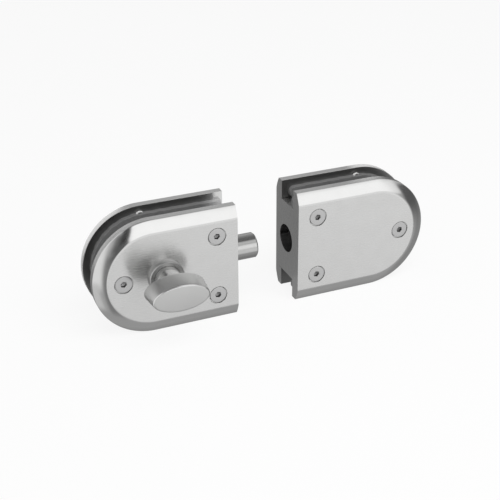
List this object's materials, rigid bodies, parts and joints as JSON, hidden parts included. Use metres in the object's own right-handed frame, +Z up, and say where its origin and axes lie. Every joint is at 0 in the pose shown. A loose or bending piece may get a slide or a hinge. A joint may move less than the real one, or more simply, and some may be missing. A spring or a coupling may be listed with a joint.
{
  "type": "glass to glass lock",
  "caption": "Satin stainless steel lock and strike set for a pair of frameless glass doors, with a round bolt thrown by an oval thumbturn",
  "frame": {"origin": "where the bolt's axis meets the straight end face of the lock unit", "axes": "X runs from the lock to the strike, along the bolt; the front faces -Y; Z is up"},
  "size_m": [0.208, 0.0586, 0.07],
  "materials": {
    "satin_steel": "fine satin",
    "screw_steel": "turned",
    "bush_brass": "turned",
    "pad_rubber": "matte sheet"
  },
  "bodies": {
    "units": {"lock_body": "satin_steel", "lock_back_plate": "satin_steel", "lock_front_pad": "pad_rubber", "lock_back_pad": "pad_rubber", "lock_screw_upper": "screw_steel", "lock_screw_lower": "screw_steel", "lock_screw_round": "screw_steel", "collar": "satin_steel", "spindle_bush": "bush_brass", "spring_washer": "screw_steel", "strike_body": "satin_steel", "strike_back_plate": "satin_steel", "strike_front_pad": "pad_rubber", "strike_back_pad": "pad_rubber", "strike_screw_upper": "screw_steel", "strike_screw_lower": "screw_steel", "strike_screw_round": "screw_steel"},
    "thumbturn": {"knob": "satin_steel", "knob_grub_screw": "screw_steel", "spindle": "screw_steel", "crank_disc": "screw_steel", "crank_pin": "screw_steel"},
    "bolt_slide": {"bolt": "satin_steel"}
  },
  "joints": [
    {"name": "turn", "type": "hinge", "parent": "units", "child": "thumbturn", "pos_m": [-0.0435, -0.03, 0], "axis": [0, -1, 0], "range_deg": [0, 90]},
    {"name": "throw", "type": "slide", "parent": "units", "child": "bolt_slide", "axis": [-1, 0, 0], "range_m": [0, 0.017]}
  ],
  "couplings": [
    {"joint": "throw", "follows": "turn", "m_per_rad": 0.010823}
  ]
}
